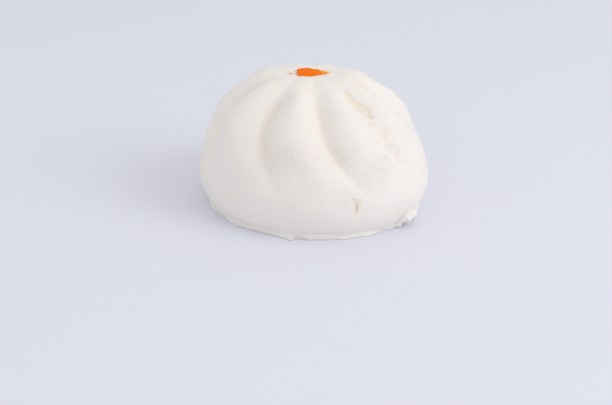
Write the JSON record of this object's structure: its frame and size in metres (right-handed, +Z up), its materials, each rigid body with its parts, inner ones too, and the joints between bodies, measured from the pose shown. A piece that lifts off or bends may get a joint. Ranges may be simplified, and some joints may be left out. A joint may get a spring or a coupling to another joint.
{
  "type": "steamed bun with pleats and an orange dot",
  "caption": "Round steamed bun of white dough, pleated in a swirl up to a small open pucker with an orange dot in it, on a flat base.",
  "frame": {"origin": "on the surface the bun rests on, under the middle of the bun's outline", "axes": "+Z up out of the pucker, -Y towards the side that was modelled from the view, +X to that side's right"},
  "size_m": [0.084, 0.084, 0.0494],
  "materials": {
    "dough": "matte, slightly translucent white steamed dough",
    "orange": "moist orange paste"
  },
  "bodies": {
    "root": {"bun": "dough", "orange_dot": "orange"}
  },
  "joints": []
}
